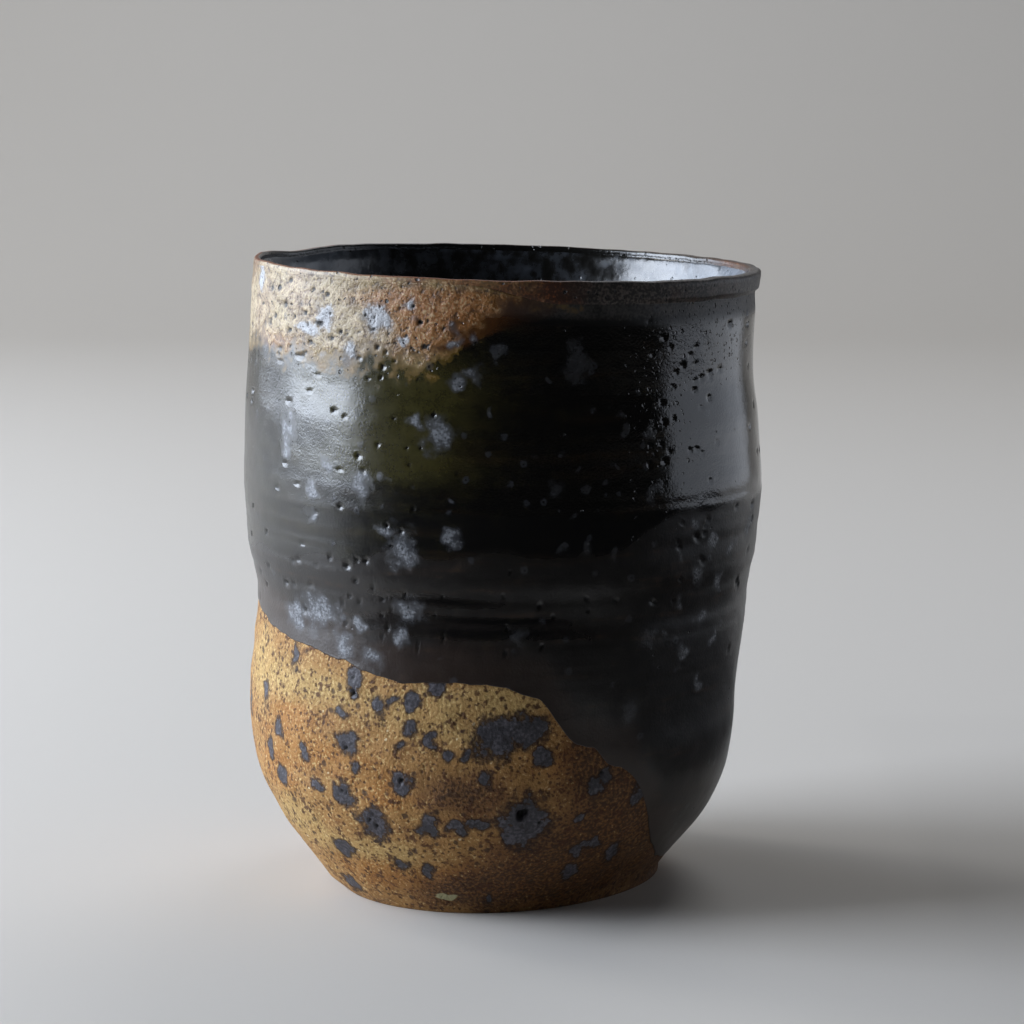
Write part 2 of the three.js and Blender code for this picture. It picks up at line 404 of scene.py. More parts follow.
# Small gouges (turn, height, radius, depth) mark the turned clay, and it is nowhere quite even.
GOUGES = 260
GOUGE_SHADE = 0.3
CLAY_WAVE_RELIEF = 0.08
CLAY_WAVE_SIZE = 7
rng = np.random.default_rng(11)
gouges = np.column_stack([
    rng.uniform(-180, 180, GOUGES),
    rng.uniform(1.5, 47, GOUGES),
    rng.uniform(0.25, 0.55, GOUGES),
    rng.uniform(0.05, 0.15, GOUGES),
])
above_bare = wall_heights - glaze_edge(body_turns)
clay_relief = CLAY_WAVE_RELIEF * unevenness(body_turns, wall_heights, 31, CLAY_WAVE_SIZE)
clay_relief *= 1 - smooth_step(above_bare, -2, 0)
clay_relief -= GLAZE_SINK * smooth_step(above_bare, 0.3, 1.5)
gouge_marks = np.zeros(wall_heights.shape)
hole_marks = np.zeros(wall_heights.shape)
sink_pits(body_turns, wall_heights, gouges, clay_relief, gouge_marks)
sink_pits(body_turns, wall_heights, SPOT_HOLES, clay_relief, hole_marks)
clay_relief *= smooth_step(wall_heights, 0, 1.5)
wall_rows = place(body_turns, outer_radius(body_turns, wall_heights) + clay_relief, wall_heights)

ring_inside = outer_radius(body_turns, np.zeros((1, 1))) - STANDING_RING_WIDTH
recess_row = place(body_turns, ring_inside - RECESS_SLOPE, np.full((1, 1), RECESS_DEPTH))
ring_row = place(body_turns, ring_inside, np.zeros((1, 1)))
lip_angles = np.linspace(0, math.pi, CLAY_LIP_ROWS + 1)[1:, None]


def lip_section(turn):
    """The middle of the clay's lip and half its thickness, round the cup."""
    outside, inside = outer_radius(turn, WALL_TOP), inner_radius(WALL_TOP)
    return (outside + inside) / 2, (outside - inside) / 2


clay_lip_middle, clay_lip_half = lip_section(body_turns)
lip_rows = place(
    body_turns,
    clay_lip_middle + clay_lip_half * np.cos(lip_angles),
    WALL_TOP + LIP_THICKNESS / 2 * np.sin(lip_angles),
)
inside_heights = np.linspace(WALL_TOP - INSIDE_START, FLOOR_TOP + INNER_CORNER, CLAY_INSIDE_ROWS)[:, None]
inside_rows = place(body_turns, inner_radius(inside_heights), inside_heights)
corner_angles = np.linspace(0, math.pi / 2, CLAY_CORNER_ROWS + 1)[1:, None]
corner_middle = inner_radius(FLOOR_TOP + INNER_CORNER) - INNER_CORNER
corner_rows = place(
    body_turns,
    corner_middle + INNER_CORNER * np.cos(corner_angles),
    FLOOR_TOP + INNER_CORNER * (1 - np.sin(corner_angles)),
)
body_rows = np.concatenate([recess_row, ring_row, wall_rows, lip_rows, inside_rows, corner_rows])
body_poles = [place(0.0, 0.0, np.array(height)) for height in (RECESS_DEPTH, FLOOR_TOP)]
clay_body = turned_mesh("clay_body", body_rows, body_poles)
give_marks(
    clay_body, RECESS_ROWS,
    iron_spot=spot_field(body_turns, wall_heights, IRON_SPOTS, 0.4),
    dab=spot_field(body_turns, wall_heights, GLAZE_DABS, 0.3),
    # The hole mark is painted shade: dark inside the gas holes, and at GOUGE_SHADE strength inside the
    # gouges.
    hole=np.maximum(hole_marks, GOUGE_SHADE * gouge_marks),
    flush=patches(body_turns, wall_heights, FLUSHED),
    ash=patches(body_turns, wall_heights, ASHED),
    toast=patches(body_turns, wall_heights, TOASTED),
)


def linear(hex_colour):
    """An sRGB hex value as the linear colour that the shaders use."""
    channels = [int(hex_colour[i : i + 2], 16) / 255 for i in (1, 3, 5)]
    return [c / 12.92 if c <= 0.04045 else ((c + 0.055) / 1.055) ** 2.4 for c in channels] + [1.0]


def add_node(material, kind, inputs, **settings):
    """Adds a node with its settings; an input is a number, a colour or the output that feeds it."""
    node = material.node_tree.nodes.new(kind)
    for name, value in settings.items():
        setattr(node, name, value)
    for name, value in inputs.items():
        if isinstance(value, bpy.types.NodeSocket):
            material.node_tree.links.new(value, node.inputs[name])
        else:
            node.inputs[name].default_value = value
    return node


def per_metre(size_mm):
    """The scale of a pattern whose features are about that size."""
    return 1 / (size_mm * MM)


def new_material(name):
    """A new material with its shader."""
    material = bpy.data.materials.new(name)
    material.use_nodes = True
    return material, material.node_tree.nodes["Principled BSDF"]


# Streaks are squeezed to ten times as long as they are tall, dots are shaken by up to RAGGED millimetres
# so that they are not round, and DOT_HEART is the share of a dot's radius that has its full strength.
STREAK_SQUEEZE = (0.1, 0.1, 1.0)
NOISE_DETAIL = 3.0
RAGGED = 0.7
DOT_HEART = 0.5


def surface_patterns(material, noises, marks, dots, streaks=()):
    """Outputs by name: noises and level streaks of a size in millimetres, the piece's own marks, and
    ragged dots (spacing, radius, share of places that hold one, as a number or a mark's name)."""
    patterns = {}
    point = add_node(material, "ShaderNodeTexCoord", {}).outputs["Object"]
    inputs = {0: point, 1: STREAK_SQUEEZE}
    level = add_node(material, "ShaderNodeVectorMath", inputs, operation="MULTIPLY").outputs[0]
    for along, sizes in ((point, dict(noises)), (level, dict(streaks))):
        for name, size in sizes.items():
            inputs = {"Vector": along, "Scale": per_metre(size), "Detail": NOISE_DETAIL}
            patterns[name] = add_node(material, "ShaderNodeTexNoise", inputs).outputs["Fac"]
    for name in marks:
        patterns[name] = add_node(material, "ShaderNodeAttribute", {}, attribute_name=name).outputs["Fac"]
    shake = add_node(material, "ShaderNodeTexNoise", {"Vector": point, "Scale": per_metre(RAGGED)})
    inputs = {0: shake.outputs["Color"], 1: [RAGGED * MM] * 3, 2: point}
    ragged = add_node(material, "ShaderNodeVectorMath", inputs, operation="MULTIPLY_ADD").outputs[0]
    for name, (spacing, radius, share) in dots.items():
        cells = add_node(material, "ShaderNodeTexVoronoi", {"Vector": ragged, "Scale": per_metre(spacing)})
        inputs = {0: cells.outputs["Color"], 1: patterns.get(share, share)}
        chosen = add_node(material, "ShaderNodeMath", inputs, operation="LESS_THAN").outputs[0]
        edge, heart = radius / spacing, DOT_HEART * radius / spacing
        inputs = {"Value": cells.outputs["Distance"], "From Min": edge, "From Max": heart}
        dot = add_node(material, "ShaderNodeMapRange", inputs).outputs[0]
        inputs = {0: dot, 1: chosen}
        patterns[name] = add_node(material, "ShaderNodeMath", inputs, operation="MULTIPLY").outputs[0]
    return patterns


def share_where(material, patterns, weights, start, end, least=0.0, most=1.0):
    """Goes smoothly from least to most while a weighted sum of patterns goes from start to end."""
    total = 0.0
    for name, weight in weights.items():
        inputs = {0: patterns[name], 1: weight, 2: total}
        total = add_node(material, "ShaderNodeMath", inputs, operation="MULTIPLY_ADD").outputs[0]
    inputs = {"Value": total, "From Min": start, "From Max": end, "To Min": least, "To Max": most}
    return add_node(material, "ShaderNodeMapRange", inputs, interpolation_type="SMOOTHSTEP").outputs[0]


def painted(material, patterns, ground, coats):
    """A ground colour under coats of (weights, start, end, strength, colour), laid where patterns say."""
    colour = linear(ground)
    for weights, start, end, strength, over in coats:
        share = share_where(material, patterns, weights, start, end, 0.0, strength)
        over = linear(over) if isinstance(over, str) else over
        inputs = {0: share, 6: colour, 7: over}
        colour = add_node(material, "ShaderNodeMix", inputs, data_type="RGBA").outputs[2]
    return colour


def finish_surface(material, shader, colour, roughness, height, relief_mm, strength=1.0):
    """Gives a shader its colour, its roughness and the relief that is too fine for the mesh."""
    inputs = {"Height": height, "Strength": strength, "Distance": relief_mm * MM}
    bump = add_node(material, "ShaderNodeBump", inputs)
    sockets = {"Base Color": colour, "Roughness": roughness, "Normal": bump.outputs["Normal"]}
    for name, output in sockets.items():
        material.node_tree.links.new(output, shader.inputs[name])


# Bare stoneware: fired sandy clay, ochre where ash reached it, orange where the flame flushed it. It is
# matt, with pale grit, brown iron specks, and slate-grey iron spots that melted a little. Its sand of
# about 0.2 mm is too fine to show, so it is drawn 0.5 mm coarse.
stoneware, clay_shader = new_material("bare_iron_stoneware")
clay = surface_patterns(
    stoneware,
    noises={"clouds": 9, "blotches": 3, "crumbs": 1.2, "grain": 0.5},
    marks=("iron_spot", "hole", "flush", "ash", "toast", "dab"),
    dots={"specks": (1.1, 0.35, 0.75), "crumb_spots": (2.2, 0.64, 0.55), "grit": (1.6, 0.26, 0.2)},
    streaks={"drags": 1.2},
)
bled = {"iron_spot": 1, "crumbs": 1.3, "grain": 0.4, "blotches": 0.6}
clay["melted"] = share_where(stoneware, clay, bled, 4.2, 4.42)
slate = painted(stoneware, clay, "#353338", [
    ({"grain": 1, "blotches": 0.5}, 0.68, 0.98, 0.7, "#5E5B62"),
    ({"crumbs": 1, "grain": 0.5}, 0.70, 0.52, 0.6, "#211B1C"),
])
clay_colour = painted(stoneware, clay, "#9A7340", [
    ({"blotches": 1, "drags": 0.6}, 0.70, 1.05, 0.6, "#774F26"),
    ({"flush": 1, "clouds": 1.0, "blotches": 1.4, "drags": 0.8}, 1.75, 2.7, 0.75, "#9A672C"),
    ({"ash": 1, "clouds": -1.2, "blotches": 1.0}, 0.15, 1.1, 0.8, "#B0945C"),
    # Toasted clay: a browner body, and partly painted shade on the side away from the window.
    ({"toast": 1, "clouds": 0.9, "blotches": 0.5}, 0.75, 1.5, 0.8, "#634020"),
    ({"grain": 1, "blotches": 0.3}, 0.64, 0.90, 0.6, "#5E3817"),
    ({"grain": -1, "toast": -0.1}, -0.45, -0.30, 0.6, "#D2B67E"),
    ({"grain": 1, "toast": 0.4}, 0.74, 1.0, 0.75, "#28170A"),
    ({"crumbs": 1, "grain": 0.5, "blotches": 0.5}, 1.06, 1.20, 0.85, "#4A2A10"),
    ({"specks": 1}, 0, 1, 0.85, "#452810"),
    ({"crumb_spots": 1}, 0, 1, 0.85, "#3E2917"),
    ({"grit": 1, "toast": -1}, 0, 1, 0.7, "#E2D0A8"),
    ({"dab": 1, "crumbs": 0.8}, 3.3, 3.6, 0.8, "#A8A67E"),
    (bled, 3.6, 4.25, 0.85, "#38220F"),
    (bled, 3.9, 4.25, 0.5, "#20150D"),
    ({"melted": 1}, 0, 1, 1.0, slate),
    # Painted shade inside the gas holes and gouges.
    ({"hole": 1}, 0, 1, 1.0, "#0C0A09"),
])
finish_surface(
    stoneware, clay_shader, clay_colour,
    roughness=share_where(stoneware, clay, {"melted": 1}, 0, 1, 0.75, 0.58),
    height=share_where(stoneware, clay, {"grain": 1, "crumbs": 0.25, "specks": -0.3}, 0.1, 1.1),
    relief_mm=0.15,
    strength=share_where(stoneware, clay, {"melted": 1}, 0, 1, 1.0, 0.5),
)
clay_shader.inputs["Specular IOR Level"].default_value = 0.4
clay_body.data.materials.append(stoneware)
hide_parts("stoneware_body")
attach(clay_body, "root")

# Outer glaze: a dark iron glaze that the cup was dipped into at a slant, so its lower edge falls from
# left to right. Gas burst through it as it melted and left pits, and it thins to rust towards the lip.

GLAZE_THICKNESS = 0.5
GLAZE_TOP = 0.2
COLLAR_TALL = 2.5
COLLAR_START = 2.0
LOWEST_GLAZE = 1.2
# The hidden back of the coat has few rows, and lies this deep in the clay so that no pit opens on it.
GLAZE_BACK = 0.35
GLAZE_BACK_ROWS = 12


def glaze_top(turn):
    """The upper edge of the glaze: under the wash of the lip on the right, and over the lip elsewhere."""
    washed = smooth_step(np.sin(np.radians(turn - COLLAR_START)), -0.2, 0.2)
    return WALL_TOP + GLAZE_TOP - COLLAR_TALL * washed


# Waves of the lower edge: (relief, size, seed).
EDGE_WAVES = ((0.3, 14, 41), (0.16, 4.5, 42), (0.05, 1.8, 45))
GLAZE_COLUMNS = 500
GLAZE_ROWS = 182
glaze_turns = columns_round(GLAZE_COLUMNS)[None, :]
edge_heights = glaze_edge(glaze_turns)
for wave, size, seed in EDGE_WAVES:
    edge_heights = edge_heights + wave * unevenness(glaze_turns, 0, seed, size)
edge_heights = np.maximum(edge_heights, LOWEST_GLAZE)
top_heights = glaze_top(glaze_turns)
# Rows of points stand closer together high up, where the pits are, and along the lower edge.
EDGE_SHARES = (0.002, 0.006, 0.012)
ROW_CROWDING = 0.75
row_shares = np.linspace(0, 1, GLAZE_ROWS - len(EDGE_SHARES)) ** ROW_CROWDING
row_shares = np.sort(np.concatenate([row_shares, EDGE_SHARES]))[:, None]
glaze_heights = edge_heights + (top_heights - edge_heights) * row_shares
above_edge = glaze_heights - edge_heights
below_top = top_heights - glaze_heights
# The coat thins to these shares of its thickness at its lower edge, at the lip and under the collar.
COAT_AT_EDGE = 0.2
COAT_AT_LIP = 0.6
COAT_UNDER_COLLAR = 0.25
glaze_coat = GLAZE_THICKNESS * (COAT_AT_EDGE + (1 - COAT_AT_EDGE) * smooth_step(above_edge, 0, 9))
top_coat = COAT_AT_LIP - (COAT_AT_LIP - COAT_UNDER_COLLAR) * smooth_step(WALL_TOP - top_heights, 0, 2)
glaze_coat *= top_coat + (1 - top_coat) * smooth_step(below_top, 0, 3.5)

# Burst gas bubbles: (turn, height) of those that show most. Others are scattered where the glaze boiled
# and, out of sight, all over it.
BUBBLES = (
    (-50, 86.2), (-43, 83.8), (-29.3, 84), (-26.2, 84.3), (-17.7, 84.4), (-38, 78.8), (-22.8, 78.5),
    (-56.8, 85), (-46, 88.5), (-44.6, 91.6), (-28.6, 93.1), (-35.5, 90.3), (-32.3, 90.8), (-15.9, 89.2),
    (39.8, 78.6), (44.2, 73.4), (46.4, 73.5), (53.4, 74.2), (43.3, 86.3), (47.2, 86.4), (47.2, 89),
    (37.4, 90.8), (33, 93.4), (34.5, 88.3), (40.3, 83.2), (56.6, 85.2), (-26.5, 74.4), (-36.2, 70.2),
    (-56.6, 65.8), (-42.9, 63.2), (-63.2, 58.4), (-49.5, 55.4), (-34.7, 55.8), (-29.7, 56.8),
    (-28.4, 52.8), (-32.3, 50.3), (-26.7, 48.4), (-25.4, 46.7), (-21.4, 61.8), (-12.5, 52.1),
    (-10.5, 49.8), (-12.4, 46), (-11.3, 43.9), (-9.2, 70.9), (-13.9, 79.3), (-47.7, 58), (-63.9, 53),
)
# Where it boiled most: (turn, height, spread of turns, spread of heights, bubbles).
BOILED = (
    (-52, 91, 16, 3.5, 34), (-18, 90, 8, 3, 16), (43, 82, 7, 7, 14), (37, 76, 2.5, 9, 8),
    (-42, 73, 13, 7, 12), (-32, 53, 16, 5, 26), (2, 49, 12, 4, 12), (50, 57, 10, 8, 18),
)
OTHER_BUBBLES = 170
OTHER_TURNS = (65, 290)
OTHER_REACH = 65
bubble_places = list(BUBBLES)
for turn, height, spread, rise, count in BOILED:
    boiled_heights = np.minimum(rng.normal(height, rise, count), WALL_TOP - 1)
    bubble_places += zip(rng.normal(turn, spread, count), boiled_heights)
bubble_places += zip(
    rng.uniform(*OTHER_TURNS, OTHER_BUBBLES),
    WALL_TOP - 4 - OTHER_REACH * rng.random(OTHER_BUBBLES) ** 1.5,
)
bubble_places = np.array(bubble_places)
# Most bubbles are small. They are drawn wider at the back, where the points stand further apart.
from_behind = (1 - np.cos(np.radians(bubble_places[:, 0]))) / 2
bubbles = np.column_stack([
    bubble_places,
    0.17 + 0.26 * rng.random(len(bubble_places)) ** 3 + 0.45 * from_behind**0.7,
    rng.uniform(0.2, 0.38, len(bubble_places)),
])
# How far down from its top the glaze breaks to rust, in millimetres, round the cup. It does so over
# RUST_FADE millimetres, and is rougher there. Waves of its face are (relief, size, seed).
RUST_FADE = 6
rust_reach = round_the_cup((
    (-90, 12), (-60, 12.5), (-35, 12.5), (-18, 12.5), (-8, 9.5), (-3, 5), (1, 1.5), (8, -1), (20, -2),
    (30, -3), (45, -4), (90, -4), (180, 3), (230, 11),
))
FACE_WAVES = ((0.02, 9, 43), (0.007, 3.5, 44))
RUST_WAVES = (0.03, 1.8, 47)
DEEPEST_PIT = 0.9
rust = (rust_reach(glaze_turns) - below_top) / RUST_FADE
glaze_relief = np.zeros(glaze_heights.shape)
for wave, size, seed in FACE_WAVES:
    glaze_relief += wave * unevenness(glaze_turns, glaze_heights, seed, size)
wave, size, seed = RUST_WAVES
glaze_relief += wave * unevenness(glaze_turns, glaze_heights, seed, size) * np.clip(rust + 0.2, 0, 1)
pit_marks = np.zeros(glaze_heights.shape)
sink_pits(glaze_turns, glaze_heights, bubbles, glaze_relief, pit_marks)
glaze_relief = np.maximum(glaze_relief, -DEEPEST_PIT * glaze_coat) * smooth_step(below_top, 0, 1.2)
glaze_radius = outer_radius(glaze_turns, glaze_heights)
glaze_face = place(glaze_turns, glaze_radius + glaze_coat + glaze_relief, glaze_heights)
back_rows = np.linspace(GLAZE_ROWS - 1, 0, GLAZE_BACK_ROWS).astype(int)
glaze_back = place(glaze_turns, glaze_radius - GLAZE_BACK, glaze_heights)[back_rows]
iron_coat = turned_mesh("iron_glaze_coat", np.concatenate([glaze_face, glaze_back]), loop=True)

# Milky blue-grey blooms on the glaze: (turn, height, width, tall).
BLOOMS = (
    (-45, 47.6, 9, 6), (-53, 46.8, 5, 5), (-37, 43.4, 3.6, 4.4), (-29, 42, 4, 3), (-20, 49.8, 4.6, 4.4),
    (-13, 76.3, 4.6, 4.8), (-18, 78.5, 2, 2), (-52, 75.3, 3.6, 4.4), (-53, 71.8, 3.4, 3.4),
    (-40, 70.6, 2, 2.2), (-31, 68.4, 3.2, 4.2), (-26, 69.7, 1.8, 1.8), (-44, 66.2, 2.6, 2.4),
    (-44, 62.7, 2.6, 2.6), (-25, 61.8, 2.6, 2.4), (-21, 58.9, 4.2, 6.4), (-22, 45.4, 2.4, 3),
    (-33, 46.6, 2, 2), (-10, 61.3, 1.6, 1.6), (-28, 92.8, 4.6, 5.2), (-42, 92.6, 4, 4),
    (-34, 87.9, 3, 3.4), (-22, 89.8, 2.6, 2), (-20, 95.4, 2.4, 2.4), (-5, 85.5, 3.4, 3.6),
    (-9, 84.3, 2.4, 2.2), (11, 68.7, 3.8, 3.8), (33, 67.6, 3.2, 4.2), (33, 76.8, 2.6, 3.4),
    (16, 71.7, 1.8, 1.8), (27, 77.3, 1.8, 1.8), (22, 69.4, 2, 2), (27, 80, 2.2, 2.2),
    (13, 59.8, 2.6, 2.2), (18, 59.7, 2.2, 2), (4, 46, 4, 3), (35, 45.1, 3, 4), (32, 33.7, 4, 4),
    (16, 87.3, 5.6, 8), (-2, 80, 1.6, 1.6), (10.7, 84.7, 2.2, 1.8), (13, 73.7, 1.4, 1.4),
    (24.4, 72, 1.4, 1.6), (17.4, 68.8, 1.6, 1.4), (11.6, 65, 1.2, 1.2), (14.7, 65, 1.6, 1.6),
    (21, 65, 1.4, 1.4), (24.3, 59.3, 2.4, 2), (-10.2, 61.3, 2.4, 3.2), (-9.6, 66.7, 1.4, 1.4),
    (-10.5, 92.2, 2, 2), (-9.5, 90, 2.2, 2.2), (-6.5, 91, 2.2, 2), (-0.5, 89, 3, 4), (-48, 90.5, 6, 2.6),
    (-70, 97, 3, 5), (70, 60, 4, 5), (95, 72, 5, 4), (120, 52, 6, 5), (150, 66, 4, 5), (175, 80, 5, 4),
    (200, 58, 5, 6), (222, 74, 4, 4), (245, 60, 6, 5), (262, 52, 5, 6), (46, 62, 2.2, 2.4),
    (52, 59, 2.8, 2.2), (41, 57, 1.8, 1.8), (48, 54, 2.6, 3), (56, 52, 2.4, 2.6), (43, 50, 2, 2),
    (51, 47, 3, 2.6), (60, 57, 2.6, 3), (39, 45, 1.8, 1.6), (46, 42, 2.2, 2), (57, 43, 2.4, 3),
    (53, 36, 2, 2.4),
)
# Zones of the glaze: satin on the low wall up to these heights, but for a few black streaks; matt under
# the collar and a little on the left; pitted high up. Patches are (turn, height, half width, half tall).
from_left = smooth_step(-np.sin(np.radians(glaze_turns)), -0.1, 0.6)
satin_top = round_the_cup((
    (-90, 56), (-48, 56.8), (-26, 58.7), (-8, 59.2), (8, 59), (19, 58.6), (25, 59.8), (32, 62.5),
    (38, 64.5), (46, 65.3), (90, 65), (180, 60), (225, 57),
))
over_satin = glaze_heights - satin_top(glaze_turns) - 0.5 * unevenness(glaze_turns, glaze_heights, 46, 10)
low_wall = 1 - smooth_step(over_satin, -1.5, 0.7)
under_collar = (1 - smooth_step(below_top, 1.5, 5)) * (1 - from_left)
BLACK_STREAKS = ((-5, 46.8, 17, 1.3), (-12, 51.2, 9, 0.8), (0, 48.6, 11, 0.6))
streak_heights = glaze_heights + 0.6 * unevenness(glaze_turns, 0, 48, 16)
black_streaks = patches(glaze_turns, streak_heights, BLACK_STREAKS)
low_edge = 1 - smooth_step(above_edge + unevenness(glaze_turns, glaze_heights, 49, 9), 2, 9)
low_matt = low_wall * (0.56 - 0.12 * from_left) * (1 - 0.8 * black_streaks)
PITTED = ((48, 90, 12, 6), (62, 93, 12, 4), (37, 78, 5, 14), (200, 90, 60, 7))
LESS_PITTED = ((-60, 91, 24, 8), (-25, 91, 14, 7))
PITTED_ANYWHERE = 0.06
pitted_zones = 0.75 * patches(glaze_turns, glaze_heights, PITTED)
pitted_zones = np.maximum(pitted_zones, 0.3 * patches(glaze_turns, glaze_heights, LESS_PITTED))
# The glaze is blackest, and its blooms are dimmest, round this turn.
BLACKEST_TURN = 18
in_black = smooth_step(np.cos(np.radians(glaze_turns - BLACKEST_TURN)), 0.87, 0.96)
# Olive and amber show where the glaze is thinner than in the black, and a little all over the left.
OLIVE = ((-20, 82, 12, 8), (-26, 75, 8, 3), (-36, 83, 14, 6), (-30, 71, 16, 3), (200, 84, 20, 5))
olive_zones = patches(glaze_turns, glaze_heights, OLIVE)
# Where the broken glaze is cream, with painted sheen in it on the lit left, and where it is orange.
CREAM = (
    (-52, 98.5, 14, 1.8), (-58, 94, 16, 4), (-40, 91, 9, 4), (-72, 88, 10, 5), (-30, 90, 5, 3),
    (-100, 92, 20, 5),
)
ORANGE = (
    (-16, 91, 9, 4), (-8, 94, 8, 3), (-62, 88, 7, 2), (-22, 96, 10, 2), (5, 95, 11, 3),
    (230, 92, 20, 4),
)
give_marks(
    iron_coat, 0,
    rust=rust,
    in_black=np.broadcast_to(in_black, glaze_heights.shape),
    bloom=spot_field(glaze_turns, glaze_heights, BLOOMS, 0.5),
    pit=pit_marks,
    low_wall=low_wall,
    black_streak=black_streaks,
    low_edge=low_edge,
    matt=np.maximum(np.maximum(low_matt, 0.9 * under_collar), 0.34 * from_left),
    pitted=PITTED_ANYWHERE + pitted_zones,
    olive=np.maximum(olive_zones, 0.3 * from_left * (1 - low_wall)),
    cream=patches(glaze_turns, glaze_heights, CREAM),
    orange=patches(glaze_turns, glaze_heights, ORANGE),
)


def broken_glaze(material, patterns):
    """Colours of the glaze where it ran thin over the clay: rust, orange, tan and cream in fine grains,
    with painted sheen in the cream.
    """
    return painted(material, patterns, "#5A3D20", [
        ({"drift": 1, "mottle": 0.5}, 0.60, 0.90, 0.85, "#857040"),
        ({"mottle": 1, "drift": -0.6}, 0.12, 0.38, 0.7, "#7A4A1E"),
        ({"orange": 0.8, "mottle": 0.8, "crystals": 0.5}, 0.80, 1.5, 0.8, "#8A5412"),
        # Cream patches: cream glaze, lightened partly as painted sheen where the window lights the left.
        ({"cream": 0.8, "mottle": 0.9, "curds": 0.6}, 1.0, 1.8, 0.75, "#A4967C"),
        ({"curds": 1, "mottle": 0.4}, 0.66, 0.50, 0.6, "#452C14"),
        ({"crystals": 1, "mottle": 0.5}, 0.76, 0.98, 0.5, "#C2B08A"),
        ({"crystals": 1, "curds": 0.4}, 0.66, 0.50, 0.6, "#24150A"),
    ])


# Iron glaze: glassy and near black where thick, olive and amber where thinner, rust where it breaks, and
# satin charcoal on the lower wall where it crystallised. Pits have rounded glassy edges, and their dark is
# painted shade. Its crystals of about 0.1 mm are too fine to show, so they are drawn 0.4 mm coarse.
GLAZE_IOR = 1.6
iron_glaze, glaze_shader = new_material("dark_iron_glaze")
glaze = surface_patterns(
    iron_glaze,
    noises={"drift": 9, "mottle": 2, "curds": 0.9, "crystals": 0.4},
    marks=("rust", "bloom", "pit", "olive", "cream", "orange", "low_wall", "matt", "pitted", "in_black",
           "black_streak", "low_edge"),
    dots={
        "fine_pits": (0.8, 0.22, "pitted"), "holes": (2.0, 0.36, "pitted"),
        "rings": (3.2, 0.8, 0.4), "ring_hearts": (3.2, 0.3, 0.4),
    },
    streaks={"streaks": 1.6},
)
thinned = {"rust": 1, "drift": 1.6, "mottle": 1.4}
glaze["broken"] = share_where(iron_glaze, glaze, thinned, 1.3, 2.2)
glaze["thin"] = share_where(iron_glaze, glaze, thinned, 0.95, 1.65)
glaze["grains"] = share_where(iron_glaze, glaze, {"broken": 1, "crystals": 1, "curds": 0.4}, 1.3, 2.1)
glaze["lumps"] = share_where(iron_glaze, glaze, {"broken": 1, "curds": 1, "mottle": 0.8}, 1.4, 2.4)
clouded = {"bloom": 1, "mottle": 0.9, "curds": 0.9, "drift": 0.8}
glaze["milk"] = share_where(iron_glaze, glaze, clouded, 3.75, 5.1)
glaze["milk_grains"] = share_where(iron_glaze, glaze, {"milk": 1, "curds": 0.8, "crystals": 1.4}, 1.6, 2.6)
glaze_colour = painted(iron_glaze, glaze, "#080706", [
    ({"low_wall": 1}, 0, 1, 1.0, "#15110E"),
    ({"streaks": 1, "drift": 0.4}, 0.70, 0.95, 0.4, "#22160C"),
    ({"low_wall": 1, "mottle": 1, "drift": 0.8}, 1.75, 2.3, 0.5, "#221E1E"),
    ({"low_edge": 1, "mottle": 0.6, "streaks": 0.5}, 0.6, 1.5, 0.7, "#2B1C13"),
    ({"low_wall": 1, "streaks": 1, "mottle": 0.5}, 1.85, 2.1, 0.6, "#3A2416"),
    ({"black_streak": 1, "streaks": 1.2}, 1.0, 1.5, 0.9, "#060505"),
    ({"matt": 1, "crystals": 0.6, "mottle": 0.3}, 1.15, 1.5, 0.7, "#4E4A49"),
    ({"olive": 1, "mottle": 0.8, "streaks": 0.5, "crystals": 0.8}, 1.0, 2.6, 0.8, "#3F3B1C"),
    ({"thin": 1, "mottle": 0.8, "crystals": 0.5}, 1.0, 1.9, 0.9, "#6C5423"),
    ({"orange": 2, "rust": 1}, 1.1, 2.0, 0.9, "#42260F"),
    ({"broken": 1}, 0, 1, 1.0, broken_glaze(iron_glaze, glaze)),
    ({"rings": 1}, 0, 1, 0.3, "#4C4F56"),
    ({"ring_hearts": 1}, 0, 1, 0.8, "#080706"),
    ({"milk": 1, "in_black": -0.45}, 0, 1, 0.75, "#484A4F"),
    ({"milk_grains": 1, "in_black": -0.7}, 0, 1, 0.65, "#8A8E94"),
    # Painted sheen: blooms over the broken glaze are lightened where the window lights them.
    ({"milk": 1, "broken": 1, "crystals": 0.9, "curds": 0.9}, 2.2, 3.0, 0.8, "#AAACB0"),
    ({"milk": 1, "crystals": -1.6}, 0.30, 0.52, 0.8, "#0E0E10"),
    # Painted shade: pits, pinholes and holes are darkened inside, where shade falls.
    ({"fine_pits": 0.8, "holes": 1, "pit": 1}, 0, 1, 1.0, "#060504"),
])
raised = {
    "grains": 0.75, "lumps": 1.1, "curds": 0.08, "crystals": 0.22, "milk_grains": 0.25, "rings": 0.1,
    "fine_pits": -1, "holes": -1.2,
}
worn = {"matt": 1, "milk": 0.3, "thin": 0.2, "broken": 0.5, "mottle": 0.2}
finish_surface(
    iron_glaze, glaze_shader, glaze_colour,
    roughness=share_where(iron_glaze, glaze, worn, 0, 1.1, 0.08, 0.54),
    height=share_where(iron_glaze, glaze, raised, -2.2, 2.0),
    relief_mm=0.33,
)
glaze_shader.inputs["IOR"].default_value = GLAZE_IOR
iron_coat.data.materials.append(iron_glaze)
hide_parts("outer_glaze")
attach(iron_coat, "root")

# Inner glaze: the same iron glaze, poured into the cup, swirled round and tipped out. It is thick and
# glossy over wall and floor, over the rings that fingers left inside, and thin where it meets the lip.

